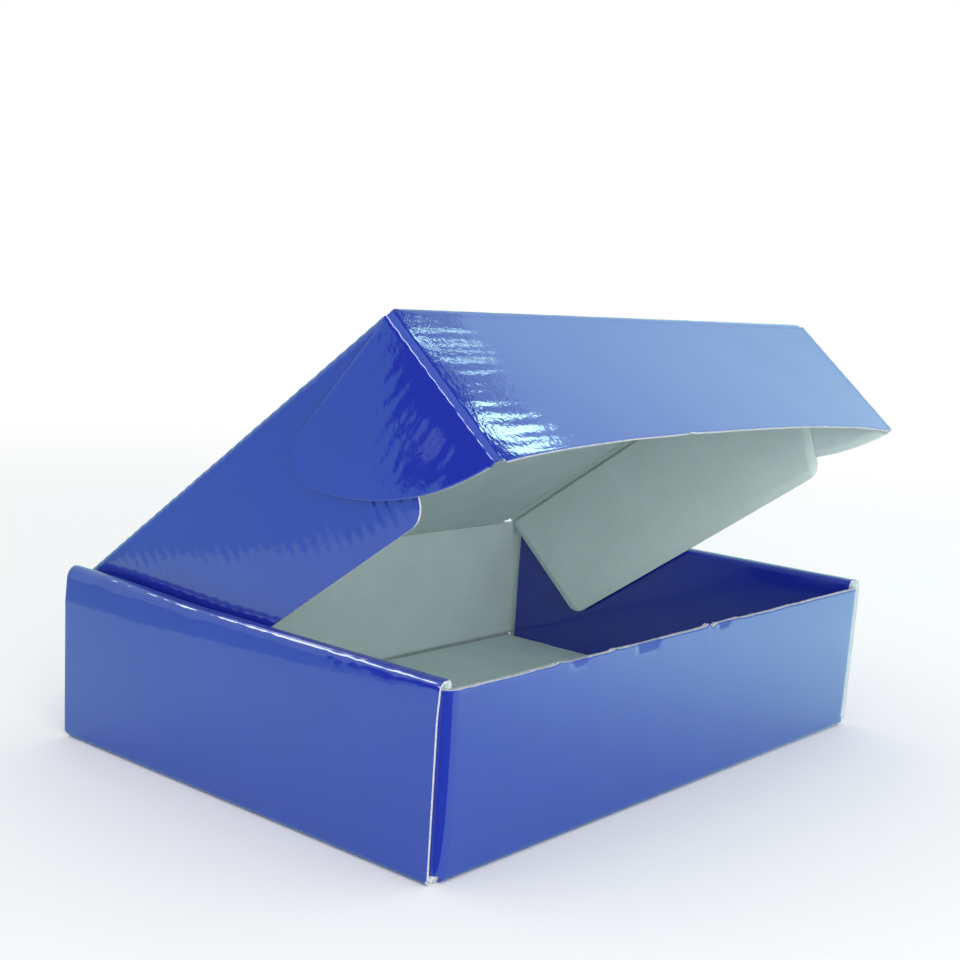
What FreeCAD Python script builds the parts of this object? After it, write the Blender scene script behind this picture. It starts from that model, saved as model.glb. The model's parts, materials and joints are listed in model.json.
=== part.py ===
"""A corrugated mailer box, lid ajar: one die-cut sheet of B-flute board, folded.

The tray is one folded piece: base, front and back walls with end flaps, and two side walls that
roll over the end flaps and lock with tabs in slots of the base. The lid hangs on the back wall by
a crease. It carries a dust flap on each side and a tuck flap in front, and the tuck flap carries
an ear at each end. Each of those creases is a hinge, so each panel past one is a piece of its own.

The origin is the middle of the underside of the base. +X is the right of the box, -Y its front
and +Z up. Every crease turns about the line where the inner faces of its two panels meet.
"""
import FreeCAD, Part
import math
import os

from FreeCAD import Vector

# Outer size of the tray
box_width = 340.0
box_depth = 238.0
side_height = 80.0
front_drop = 4.0            # the front wall's raw top edge lies this far below the side walls

# Board and the room between folded layers
board = 3.0
layer_gap = 0.25
panel_gap = 0.3             # running clearance between pieces that move past each other

# Side walls, which roll over the end flaps
corner_setback = 2.0        # the outer panel's ends stop this far short of the front and back faces
end_flap_length = 100.0
tab_length = 36.0
tab_spacing = 128.0         # centre to centre of the two locking tabs of a side
slot_gap = 0.3

# Creases between moving panels: the panels nearly meet on the inner face and are bevelled outside
crease_gap = 0.15
crease_bevel_deg = 15.0

# Lid and its flaps
lid_angle_deg = 35.2        # lid above its closed position
tuck_angle_deg = 104.5      # inside angle between lid and tuck flap
tuck_clearance = 0.5        # closed tuck flap to the front wall
tuck_floor_gap = 0.5        # closed tuck flap to the base
ear_clearance = 0.4         # ears to the rolled side walls
dust_floor_gap = 1.0        # closed dust flaps to the base

# Outline of a dust flap, along its crease from the hinge and down from it
dust_rear_inset = 1.5
dust_rear_taper = 16.0
dust_front_inset = 3.5
dust_front_taper = 21.0
dust_round = 9.0

# Outline of an ear: its reach from the crease and the points that its two arcs pass through
ear_reach = 78.0
ear_top_rise = 2.5          # its upper edge rises this much from crease to tip
ear_crease_inset = 0.8
ear_tip_top = 10.0          # from the reach back to where the upper edge ends
ear_tip_depth = 8.0
ear_tip_back = 4.0
ear_tip_bottom = 20.0
ear_belly_back = 36.0
ear_belly_rise = 20.0       # the lower edge's middle point above the lower end of the crease

# Places that follow from the sizes above
half_width = box_width / 2
half_depth = box_depth / 2
front_height = side_height - front_drop
inner_y = half_depth - board                        # inner faces of the front and back walls
hinge_z = side_height - board                       # underside of the closed lid
flap_outer_x = half_width - board - layer_gap       # outer face of the end flaps
flap_inner_x = flap_outer_x - board
roll_outer_x = flap_inner_x - layer_gap             # outer face of the inner side panels
roll_inner_x = roll_outer_x - board                 # the tray's clear half width
side_reach = half_depth - corner_setback
ear_outer_x = roll_inner_x - ear_clearance
ear_crease_x = ear_outer_x - board
dust_outer_x = ear_crease_x - panel_gap
dust_crease_x = dust_outer_x - board
lid_length = 2 * inner_y - tuck_clearance - board   # hinge crease to tuck crease
tuck_depth = hinge_z - board - tuck_floor_gap
dust_depth = hinge_z - board - dust_floor_gap
crease_bevel = board * math.tan(math.radians(crease_bevel_deg))

# Directions at rest: along the lid, down from it, down the tuck flap and out of its face
lid_turn = math.radians(lid_angle_deg)
tuck_turn = math.radians(tuck_angle_deg)
along_lid = Vector(0, -math.cos(lid_turn), math.sin(lid_turn))
under_lid = Vector(0, -math.sin(lid_turn), -math.cos(lid_turn))
down_tuck = under_lid * math.sin(tuck_turn) - along_lid * math.cos(tuck_turn)
out_of_tuck = Vector(0, down_tuck.z, -down_tuck.y)
lid_crease = Vector(0, inner_y, hinge_z)
tuck_crease = lid_crease + along_lid * lid_length


def block(low, high):
    """A box between two corners."""
    size = [b - a for a, b in zip(low, high)]
    return Part.makeBox(*size, Vector(*low))


def bend(low, high, centre, direction):
    """The rounded outside of a fold: the part of a box within one board of the crease line."""
    reach = box_width + box_depth
    start = Vector(*centre) - direction * (reach / 2)
    return Part.makeCylinder(board, reach, start, direction).common(block(low, high))


def both_ends(shape, normal):
    """A shape and its mirror image in a plane through the origin."""
    return [shape, shape.mirror(Vector(0, 0, 0), normal)]


def joined(shapes):
    """One solid from touching ones."""
    return shapes[0].multiFuse(shapes[1:]).removeSplitter()


def placed(shape, origin, away, out):
    """Moves a flat leaf to its place: away from its crease, outer face towards out."""
    along = out.cross(away)
    matrix = FreeCAD.Matrix(
        away.x, along.x, out.x, origin.x,
        away.y, along.y, out.y, origin.y,
        away.z, along.z, out.z, origin.z,
        0, 0, 0, 1)
    shape.Placement = FreeCAD.Placement(matrix)
    return shape


def leaf(edges):
    """A flat panel from its outline, inner face at 0 and outer face one board up."""
    return Part.Face(Part.Wire(Part.__sortEdges__(edges))).extrude(Vector(0, 0, board))


def outline(points):
    """Straight edges through points, back to the first."""
    corners = [Vector(x, y, 0) for x, y in points]
    return [Part.LineSegment(a, b).toShape() for a, b in zip(corners, corners[1:] + corners[:1])]


def crease_trim(length):
    """What a bevelled crease edge takes off a leaf: a wedge along the crease, growing outwards."""
    slope = crease_bevel / board
    margin = board
    section = [(-margin, -margin), (crease_gap - slope * margin, -margin),
               (crease_gap + slope * 2 * margin, 2 * margin), (-margin, 2 * margin)]
    corners = [Vector(u, -length, w) for u, w in section]
    face = Part.Face(Part.makePolygon(corners + corners[:1]))
    return face.extrude(Vector(0, 2 * length, 0))


def turned(shape, x, y, degrees):
    """A copy of a trim turned in the leaf's plane, with its crease line through (x, y)."""
    copy = shape.copy()
    copy.rotate(Vector(0, 0, 0), Vector(0, 0, 1), degrees)
    copy.translate(Vector(x, y, 0))
    return copy


def base_panel():
    """The base, with the slots that take the locking tabs."""
    slab = block((-half_width + board, -inner_y, 0), (half_width - board, inner_y, board))
    slots = []
    for y in (-tab_spacing / 2, tab_spacing / 2):
        reach = tab_length / 2 + slot_gap
        slot = block((roll_inner_x - slot_gap, y - reach, -board),
                     (roll_outer_x + slot_gap, y + reach, 2 * board))
        slots += both_ends(slot, Vector(1, 0, 0))
    return slab.cut(slots)


def rolled_side():
    """The right side wall: outer panel, strip over the top, inner panel and its locking tabs."""
    outer_x = half_width - board
    lines = Vector(0, 1, 0)
    top = side_height - board
    pieces = [
        block((outer_x, -side_reach, board), (half_width, side_reach, top)),
        bend((outer_x, -side_reach, 0), (half_width, side_reach, board), (outer_x, 0, board), lines),
        bend((outer_x, -side_reach, top), (half_width, side_reach, side_height),
             (outer_x, 0, top), lines),
        block((roll_outer_x, -side_reach, top), (outer_x, side_reach, side_height)),
    ]
    inner_reach = inner_y - panel_gap
    pieces.append(bend((roll_inner_x, -inner_reach, top), (roll_outer_x, inner_reach, side_height),
                       (roll_outer_x, 0, top), lines))
    pieces.append(block((roll_inner_x, -inner_reach, board + layer_gap),
                        (roll_outer_x, inner_reach, top)))
    for y in (-tab_spacing / 2, tab_spacing / 2):
        pieces.append(block((roll_inner_x, y - tab_length / 2, layer_gap),
                            (roll_outer_x, y + tab_length / 2, board + layer_gap)))
    return joined(pieces)


def end_flap(y_sign, top):
    """A right-hand end flap with the upright bend that carries it."""
    near = sorted((y_sign * inner_y, y_sign * half_depth))
    flap_bottom = board + layer_gap
    flap_top = min(top, side_height - board - layer_gap)
    run = sorted((y_sign * inner_y, y_sign * (inner_y - end_flap_length)))
    return [
        bend((flap_inner_x, near[0], flap_bottom), (flap_outer_x, near[1], flap_top),
             (flap_inner_x, y_sign * inner_y, 0), Vector(0, 0, 1)),
        block((flap_inner_x, run[0], flap_bottom), (flap_outer_x, run[1], flap_top)),
    ]


def end_wall(y_sign, top):
    """The front or back wall up to a height, with its bend at the base and both end flaps."""
    near = sorted((y_sign * inner_y, y_sign * half_depth))
    wall = block((-flap_inner_x, near[0], board), (flap_inner_x, near[1], top))
    foot = bend((-flap_inner_x, near[0], 0), (flap_inner_x, near[1], board),
                (0, y_sign * inner_y, board), Vector(1, 0, 0))
    pieces = [wall, foot]
    for piece in end_flap(y_sign, top):
        pieces += both_ends(piece, Vector(1, 0, 0))
    return joined(pieces)


def back_wall():
    """The back wall, whose top edge is bevelled for the lid crease."""
    wall = end_wall(1, hinge_z)
    trim = placed(crease_trim(box_width), lid_crease, Vector(0, 0, -1), Vector(0, 1, 0))
    return wall.cut(trim)


def tray():
    """The whole tray, one folded sheet."""
    return joined([base_panel(), end_wall(-1, front_height), back_wall()]
                  + both_ends(rolled_side(), Vector(1, 0, 0)))


def lid_panel():
    """The lid's flat panel, bevelled along all four creases."""
    shape = leaf(outline([(0, -dust_crease_x), (lid_length, -dust_crease_x),
                          (lid_length, dust_crease_x), (0, dust_crease_x)]))
    trim = crease_trim(box_width)
    shape = shape.cut([
        trim,
        turned(trim, lid_length, 0, 180),
        turned(trim, 0, -dust_crease_x, 90),
        turned(trim, 0, dust_crease_x, -90)])
    return placed(shape, lid_crease, along_lid, -under_lid)


def tuck_flap():
    """The tuck flap, bevelled along the lid crease and both ear creases."""
    shape = leaf(outline([(0, -ear_crease_x), (tuck_depth, -ear_crease_x),
                          (tuck_depth, ear_crease_x), (0, ear_crease_x)]))
    trim = crease_trim(box_width)
    shape = shape.cut([
        trim,
        turned(trim, 0, -ear_crease_x, 90),
        turned(trim, 0, ear_crease_x, -90)])
    return placed(shape, tuck_crease, down_tuck, out_of_tuck)


def dust_flap():
    """The left dust flap: its ends slant in and its lower corners are rounded."""
    shape = leaf(outline([
        (0, dust_rear_inset), (dust_depth, dust_rear_inset + dust_rear_taper),
        (dust_depth, lid_length - dust_front_inset - dust_front_taper),
        (0, lid_length - dust_front_inset)]))
    lower_corners = [edge for edge in shape.Edges
                     if all(abs(vertex.X - dust_depth) < crease_gap for vertex in edge.Vertexes)
                     and abs(edge.Vertexes[0].Z - edge.Vertexes[1].Z) > crease_gap]
    shape = shape.makeFillet(dust_round, lower_corners)
    shape = shape.cut(crease_trim(box_depth))
    return placed(shape, lid_crease - Vector(dust_crease_x, 0, 0), under_lid, Vector(-1, 0, 0))


def ear():
    """The left ear: a straight upper edge, a rounded tip and a long curved lower edge."""
    crease_top = Vector(0, ear_crease_inset, 0)
    crease_bottom = Vector(0, tuck_depth, 0)
    belly = Vector(ear_reach - ear_belly_back, tuck_depth - ear_belly_rise, 0)
    tip_bottom = Vector(ear_reach - ear_tip_back, ear_tip_bottom, 0)
    tip = Vector(ear_reach, ear_tip_depth, 0)
    tip_top = Vector(ear_reach - ear_tip_top, ear_crease_inset - ear_top_rise, 0)
    shape = leaf([
        Part.LineSegment(crease_top, crease_bottom).toShape(),
        Part.Arc(crease_bottom, belly, tip_bottom).toShape(),
        Part.Arc(tip_bottom, tip, tip_top).toShape(),
        Part.LineSegment(tip_top, crease_top).toShape()])
    shape = shape.cut(crease_trim(box_depth))
    into_tray = -out_of_tuck
    return placed(shape, tuck_crease - Vector(ear_crease_x, 0, 0), into_tray, Vector(-1, 0, 0))


def main():
    left_dust_flap = dust_flap()
    left_ear = ear()
    pieces = {
        "tray": tray(),
        "lid_panel": lid_panel(),
        "tuck_flap": tuck_flap(),
        "left_dust_flap": left_dust_flap,
        "right_dust_flap": left_dust_flap.mirror(Vector(0, 0, 0), Vector(1, 0, 0)),
        "left_ear": left_ear,
        "right_ear": left_ear.mirror(Vector(0, 0, 0), Vector(1, 0, 0)),
    }
    os.makedirs("parts", exist_ok=True)
    for node, shape in pieces.items():
        shape.exportStep("parts/" + node + ".step")
        solids = len(shape.Solids)
        box = shape.BoundBox
        print(f"{node}: {solids} solid, valid {shape.isValid()}, {shape.Volume / 1000:.1f} cm3, "
              f"x {box.XMin:.1f} to {box.XMax:.1f}, y {box.YMin:.1f} to {box.YMax:.1f}, "
              f"z {box.ZMin:.1f} to {box.ZMax:.1f}")


main()
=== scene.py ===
"""The looks of a corrugated mailer box with its lid ajar.

Each panel is a sheet of fluted board: a gloss-laminated blue print outside, a bare liner inside and
cut edges that show the board's layers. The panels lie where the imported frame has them, and a folded
crease joins each two that turn on a hinge.
"""

import json
import math

import bpy
from bpy.props import FloatProperty, FloatVectorProperty, PointerProperty
from mathutils import Matrix, Vector, noise


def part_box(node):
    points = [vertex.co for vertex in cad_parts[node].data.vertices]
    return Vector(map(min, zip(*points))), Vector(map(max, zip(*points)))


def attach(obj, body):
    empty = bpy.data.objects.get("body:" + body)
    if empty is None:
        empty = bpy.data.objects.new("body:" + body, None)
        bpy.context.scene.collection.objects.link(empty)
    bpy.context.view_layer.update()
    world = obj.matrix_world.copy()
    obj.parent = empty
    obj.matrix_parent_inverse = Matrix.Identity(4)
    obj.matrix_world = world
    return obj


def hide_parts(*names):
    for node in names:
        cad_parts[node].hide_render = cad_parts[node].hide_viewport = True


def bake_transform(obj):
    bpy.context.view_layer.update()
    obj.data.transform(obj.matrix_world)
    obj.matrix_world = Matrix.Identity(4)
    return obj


bl_info = {
    "name": "Corrugated Mailer Box",
    "version": (1, 0, 0),
    "blender": (4, 5, 0),
    "location": "3D View > Sidebar > Mailer Box",
    "description": "Folds a glossy printed mailer box of fluted board and lights it in a soft studio",
    "category": "Object",
}

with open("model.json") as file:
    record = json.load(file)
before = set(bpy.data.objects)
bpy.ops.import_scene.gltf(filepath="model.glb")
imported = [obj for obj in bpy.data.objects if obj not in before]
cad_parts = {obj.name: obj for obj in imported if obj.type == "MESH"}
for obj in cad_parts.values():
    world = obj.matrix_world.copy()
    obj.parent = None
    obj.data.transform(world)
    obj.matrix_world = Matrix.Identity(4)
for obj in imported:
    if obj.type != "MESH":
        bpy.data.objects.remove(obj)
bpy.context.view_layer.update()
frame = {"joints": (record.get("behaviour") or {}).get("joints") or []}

# Millimetres in the frame's metres
MM = 0.001

# The photograph's frame, in which the camera was matched, and Blender's default sensor
PHOTO_PX = 960
FOCAL_PX = 1458.7
CENTRE_PX = (468.9, 592.7)
SENSOR_MM = 36.0

# The three finishes, in the order of a sheet's slots
PRINT, LINER, EDGE = range(3)


def colour(hex_code):
    """The linear colour of an sRGB hex value."""
    channels = [int(hex_code[i:i + 2], 16) / 255 for i in (1, 3, 5)]
    return [c / 12.92 if c <= 0.04045 else ((c + 0.055) / 1.055) ** 2.4 for c in channels]


def hinge(name):
    """A hinge's place and its unit axis, from the frame."""
    joint = next(j for j in frame["joints"] if j["name"] == name)
    return Vector(joint["pos_m"]), Vector(joint["axis"]).normalized()


# What the frame says of the tray and of the panels' directions at rest
_, tray_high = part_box("tray")
lid_crease, _ = hinge("lid_hinge")
tuck_crease, _ = hinge("tuck_hinge")
dust_crease, along_lid = hinge("left_dust_hinge")
ear_crease, up_tuck = hinge("left_ear_hinge")
X = Vector((1, 0, 0))
down_tuck = -up_tuck
over_lid = along_lid.cross(X).normalized()
out_of_tuck = down_tuck.cross(X).normalized()
lid_length = (tuck_crease - lid_crease).length


class BoardSettings(bpy.types.PropertyGroup):
    """The board that the box is cut from."""
    thickness: FloatProperty(
        name="Board thickness", description="Both liners and the fluting between them",
        default=3 * MM, unit="LENGTH")
    flute_pitch: FloatProperty(
        name="Flute pitch", description="From one flute to the next",
        default=6.5 * MM, unit="LENGTH")
    washboard: FloatProperty(
        name="Washboard", description="How far the liner dips between flutes, from the mean",
        default=0.022 * MM, unit="LENGTH")
    waviness: FloatProperty(
        name="Waviness", description="How far a panel wanders from flat over a few centimetres",
        default=0.10 * MM, unit="LENGTH")
    edge_round: FloatProperty(
        name="Edge rounding", description="Rounding of the cut edges",
        default=0.22 * MM, unit="LENGTH")


class TraySettings(bpy.types.PropertyGroup):
    """The folded tray."""
    front_drop: FloatProperty(
        name="Front wall drop", description="The front wall's cut edge below the side walls",
        default=4 * MM, unit="LENGTH")
    layer_gap: FloatProperty(
        name="Layer gap", description="Room between the layers of a side wall",
        default=0.25 * MM, unit="LENGTH")
    corner_setback: FloatProperty(
        name="Corner setback", description="A side panel's ends short of the front and back faces",
        default=2 * MM, unit="LENGTH")
    end_flap: FloatProperty(
        name="End flap", description="Length of the flaps inside the side walls",
        default=100 * MM, unit="LENGTH")
    roll_lift: FloatProperty(
        name="Roll lift", description="How far the rolled edge of the left wall stands up at the back",
        default=2.6 * MM, unit="LENGTH")
    wall_bow: FloatProperty(
        name="Wall bow", description="How far the side walls bulge outwards",
        default=1.2 * MM, unit="LENGTH")


class FlapSettings(bpy.types.PropertyGroup):
    """The lid's flaps."""
    tuck_bow: FloatProperty(
        name="Tuck flap bow", description="How far the middle of the tuck flap's free edge bows out",
        default=4.6 * MM, unit="LENGTH")
    tuck_corners: FloatProperty(
        name="Tuck flap corners", description="How far the tuck flap's corners reach past its node",
        default=2.4 * MM, unit="LENGTH")
    tuck_arch: FloatProperty(
        name="Tuck flap arch", description="How much shorter the tuck flap is in the middle",
        default=4 * MM, unit="LENGTH")
    lid_sag: FloatProperty(
        name="Lid sag", description="How far the middle of the lid hangs",
        default=0.8 * MM, unit="LENGTH")


class FinishSettings(bpy.types.PropertyGroup):
    """Colours and gloss."""
    print_colour: FloatVectorProperty(
        name="Print", description="The printed outside", subtype="COLOR", size=3,
        default=colour("#16299C"))
    liner_colour: FloatVectorProperty(
        name="Liner", description="The bare inside", subtype="COLOR", size=3,
        default=colour("#D2E2E0"))
    edge_colour: FloatVectorProperty(
        name="Cut edge", description="Liner and fluting where the board is cut", subtype="COLOR",
        size=3, default=colour("#D5D8DE"))
    coat_roughness: FloatProperty(
        name="Film roughness", description="Roughness of the laminated film",
        default=0.045, min=0, max=1, subtype="FACTOR")


class StudioSettings(bpy.types.PropertyGroup):
    """The floor and the lights."""
    floor_colour: FloatVectorProperty(
        name="Floor", description="The pale floor", subtype="COLOR", size=3,
        default=colour("#F1F2F2"))
    mirrored_colour: FloatVectorProperty(
        name="Mirrored room", description="The room's tone in the box's gloss", subtype="COLOR",
        size=3, default=colour("#CCFBEA"))
    fill: FloatProperty(
        name="Fill", description="Strength of the light from all round", default=0.95, min=0)
    pool: FloatProperty(
        name="Pool", description="Extra light of the floor's right side in the box's gloss",
        default=1.0, min=0)
    window: FloatProperty(
        name="Window", description="Radiance of the large softbox on the right", default=0.79, min=0)
    front: FloatProperty(
        name="Front", description="Radiance of the softbox that lights the box's inside",
        default=3.2, min=0)
    rims: FloatProperty(
        name="Rims", description="Radiance of the slim lamps that edge the creases",
        default=9.0, min=0)
    strip: FloatProperty(
        name="Glint lamps", description="Radiance of the slim lamps that glint on the tuck flap",
        default=10.0, min=0)


def settings(group):
    """The scene's board, tray, flaps, finish or studio settings."""
    return getattr(bpy.context.scene, "mailer_" + group)


# Materials. A Mix node's colour inputs go by number, because its inputs share their names
COLOUR_A, COLOUR_B = 6, 7


def add_node(tree, kind, values=None, **properties):
    """Adds a shader node, sets its properties, and sets or links its inputs.

    A value may be a plain one, a socket, or a node that stands for its result."""
    made = tree.nodes.new("ShaderNode" + kind)
    for name, value in properties.items():
        setattr(made, name, value)
    for name, value in (values or {}).items():
        if isinstance(value, bpy.types.Node):
            value = next(socket for socket in value.outputs if socket.enabled)
        if isinstance(value, bpy.types.NodeSocket):
            tree.links.new(value, made.inputs[name])
        else:
            made.inputs[name].default_value = value
    return made


def new_material(name):
    """An empty material and its node tree."""
    material = bpy.data.materials.new(name)
    material.use_nodes = True
    material.node_tree.nodes.clear()
    return material, material.node_tree


def rgba(channels, times=1.0):
    """A colour socket's value, made lighter or darker."""
    return (*(c * times for c in channels), 1.0)


def flute_wave(tree):
    """A wave from -1 to 1 that runs across the flutes."""
    place = add_node(tree, "UVMap", uv_map="Board")
    across = add_node(tree, "SeparateXYZ", {"Vector": place}).outputs["X"]
    phase = add_node(tree, "Math", {0: across, 1: math.tau / settings("board").flute_pitch},
                     operation="MULTIPLY")
    return add_node(tree, "Math", {0: phase}, operation="SINE")


def gloss_print(name):
    """Offset print under a gloss-laminated film: deep even ink, with sharp reflections on top."""
    finish = settings("finish")
    material, tree = new_material(name)
    place = add_node(tree, "TexCoord").outputs["Object"]
    # Ink density drifts by a few percent over about 30 mm
    drift = add_node(tree, "TexNoise", {"Vector": place, "Scale": 33.0, "Detail": 3.0})
    tint = add_node(tree, "Mix", {
        "Factor": drift, COLOUR_A: rgba(finish.print_colour, 0.93),
        COLOUR_B: rgba(finish.print_colour, 1.07)}, data_type="RGBA")
    # The film's orange peel is about 1.6 mm from bump to bump, the liner's cockle about 5 mm
    peel = add_node(tree, "TexNoise", {"Vector": place, "Scale": 620.0, "Detail": 2.0})
    cockle = add_node(tree, "TexNoise", {"Vector": place, "Scale": 210.0, "Detail": 1.0})
    # Where folding has worked the film, its orange peel is about three times as deep
    worked = add_node(tree, "Attribute", attribute_name="worked").outputs["Fac"]
    depth = add_node(tree, "Math", {0: worked, 1: 0.021 * MM, 2: 0.011 * MM}, operation="MULTIPLY_ADD")
    fine = add_node(tree, "Bump", {"Distance": depth, "Height": peel})
    bump = add_node(tree, "Bump", {"Distance": 0.025 * MM, "Height": cockle, "Normal": fine})
    # Film lies on the ink with no air between, so only the film's own face mirrors the room
    shader = add_node(tree, "BsdfPrincipled", {
        "Base Color": tint, "Roughness": 0.5, "Specular IOR Level": 0.08, "Normal": bump,
        "Coat Weight": 1.0, "Coat Roughness": finish.coat_roughness, "Coat IOR": 1.75,
        "Coat Normal": bump})
    add_node(tree, "OutputMaterial", {"Surface": shader})
    return material


def bare_liner(name):
    """Uncoated clay-grey kraft liner: matt, with short fibres, faint lines over the flutes that are
    partly painted washboard shade, and painted shade along the creases.
    """
    material, tree = new_material(name)
    place = add_node(tree, "UVMap", uv_map="Board")
    spot = add_node(tree, "TexCoord").outputs["Object"]
    # Fibres are 1 to 2 mm long and lie along the flutes
    stretched = add_node(tree, "Mapping", {"Vector": place, "Scale": (2600.0, 700.0, 1.0)})
    fibre = add_node(tree, "TexNoise", {
        "Vector": stretched, "Scale": 1.0, "Detail": 4.0, "Roughness": 0.65})
    speck = add_node(tree, "MapRange", {
        "Value": fibre, "From Min": 0.3, "From Max": 0.7, "To Min": 0.985, "To Max": 1.015})
    # The pulp is cloudy over about 25 mm
    cloud = add_node(tree, "TexNoise", {"Vector": spot, "Scale": 40.0, "Detail": 4.0})
    patch = add_node(tree, "MapRange", {
        "Value": cloud, "From Min": 0.3, "From Max": 0.7, "To Min": 0.96, "To Max": 1.03})
    # Faint lighter and darker lines over the flutes: partly glue lines, partly painted washboard shade
    lines = add_node(tree, "MapRange", {
        "Value": flute_wave(tree), "From Min": -1.0, "To Min": 0.992, "To Max": 1.005})
    # Painted shade: the liner is darkened along the creases, where shade falls in the press mark
    painted_crease_shade = add_node(tree, "Attribute", attribute_name="painted_crease_shade").outputs["Fac"]
    shade = add_node(tree, "Math", {0: painted_crease_shade, 1: -0.5, 2: 1.0}, operation="MULTIPLY_ADD")
    for factor in (speck, patch, lines):
        shade = add_node(tree, "Math", {0: shade, 1: factor}, operation="MULTIPLY")
    tint = add_node(tree, "VectorMath", {0: settings("finish").liner_colour, 1: shade},
                    operation="MULTIPLY")
    bump = add_node(tree, "Bump", {"Distance": 0.008 * MM, "Height": fibre})
    shader = add_node(tree, "BsdfPrincipled", {
        "Base Color": tint, "Roughness": 0.82, "IOR": 1.4, "Normal": bump})
    add_node(tree, "OutputMaterial", {"Surface": shader})
    return material


def cut_edge(name):
    """Die-cut board seen edge on: two pale liners and the fluting between them, partly crushed, with
    painted shade in the hollows.
    """
    material, tree = new_material(name)
    depth = add_node(tree, "Attribute", attribute_name="depth").outputs["Fac"]
    # The fluting's own line runs between the liners, at 0.5 plus or minus 0.3 of the depth
    line = add_node(tree, "MapRange", {
        "Value": flute_wave(tree), "From Min": -1.0, "To Min": 0.2, "To Max": 0.8})
    bands = []
    for centre, start, end, paper_at_start in ((line, 0.1, 0.2, 1.0), (0.5, 0.33, 0.4, 0.0)):
        off = add_node(tree, "Math", {0: depth, 1: centre}, operation="SUBTRACT")
        distance = add_node(tree, "Math", {0: off}, operation="ABSOLUTE")
        bands.append(add_node(tree, "MapRange", {
            "Value": distance, "From Min": start, "From Max": end, "To Min": paper_at_start,
            "To Max": 1.0 - paper_at_start}))
    fluting, liners = bands
    paper = add_node(tree, "Math", {0: fluting, 1: liners}, operation="MAXIMUM")
    # Crushed fluting fills the hollows in spots of about 1 mm
    place = add_node(tree, "TexCoord").outputs["Object"]
    fuzz = add_node(tree, "TexNoise", {"Vector": place, "Scale": 1100.0, "Detail": 3.0})
    crushed = add_node(tree, "MapRange", {
        "Value": fuzz, "From Min": 0.45, "From Max": 0.6, "To Min": 0.4, "To Max": 0.95})
    solid = add_node(tree, "Math", {0: paper, 1: crushed}, operation="MAXIMUM")
    pale = settings("finish").edge_colour
    # The hollows between the paper are painted dark, for the shade inside them
    tint = add_node(tree, "Mix", {
        "Factor": solid, COLOUR_A: rgba(pale, 0.28), COLOUR_B: rgba(pale)}, data_type="RGBA")
    bump = add_node(tree, "Bump", {"Distance": 0.12 * MM, "Height": solid})
    shader = add_node(tree, "BsdfPrincipled", {"Base Color": tint, "Roughness": 0.8, "Normal": bump})
    add_node(tree, "OutputMaterial", {"Surface": shader})
    return material


def board_materials():
    """The three finishes, each made once."""
    makers = {"gloss_laminated_print": gloss_print, "bare_kraft_liner": bare_liner,
              "die_cut_board_edge": cut_edge}
    return [bpy.data.materials.get(name) or make(name) for name, make in makers.items()]


# Sheets of board. A knife crushes this share of the thickness at a cut edge, and this far in
KNIFE_CRUSH, CRUSH_WIDTH = 0.66, 4.5 * MM
# A creasing rule presses the inner face in by this share, and this far either side, which is also how
# far the liner's painted crease shade reaches
RULE_CRUSH, RULE_WIDTH = 0.75, 1.7 * MM
# A pressed face comes back to full thickness along a curve of this power
CRUSH_POWER = 1.3
# A sheet lies still this near a crease, and comes free over this much more
STILL, LOOSENS = 1.5 * MM, 8 * MM
# Faces that meet at more than this stay sharp, and are bevelled
SHARP_ANGLE = math.radians(50)


def steps(low, high, count):
    """Evenly spaced values from low to high."""
    return [low + (high - low) * i / count for i in range(count + 1)]


def steps_lined(low, high, count):
    """Steps that lie closer together next to both ends, for the press marks of creases."""
    near = [0.5 * MM, 1.0 * MM, 1.7 * MM]
    inner = steps(low + 3 * MM, high - 3 * MM, count)
    return [low] + [low + d for d in near] + inner + [high - d for d in reversed(near)] + [high]


def smooth(x):
    """0 below 0, 1 above 1 and an even curve between."""
    x = min(max(x, 0.0), 1.0)
    return x * x * (3 - 2 * x)


def uneven(x, y=0.0, z=0.0):
    """Smooth noise between about -1 and 1, a step of 1 from bump to bump."""
    return noise.noise(Vector((x, y, z)))


def cells_across(length, pitch, each=8):
    """Enough cells for some to each flute."""
    return max(each, round(length / pitch * each))


def wander(place, reach):
    """A gentle wave of a panel, 36 mm long with a smaller one of 13 mm on it."""
    return (noise.noise(place * 28) + 0.3 * noise.noise(place * 75)) * reach


def primitive(add, name, **properties):
    """A new primitive, with nothing else selected."""
    bpy.ops.object.select_all(action="DESELECT")
    add(**properties)
    made = bpy.context.object
    made.name = made.data.name = name
    return made


def on_whole_mesh(operator, **properties):
    """Runs an edit mode operator on all of the active mesh."""
    bpy.ops.object.mode_set(mode="EDIT")
    bpy.ops.mesh.select_all(action="SELECT")
    operator(**properties)
    bpy.ops.object.mode_set(mode="OBJECT")


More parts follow.
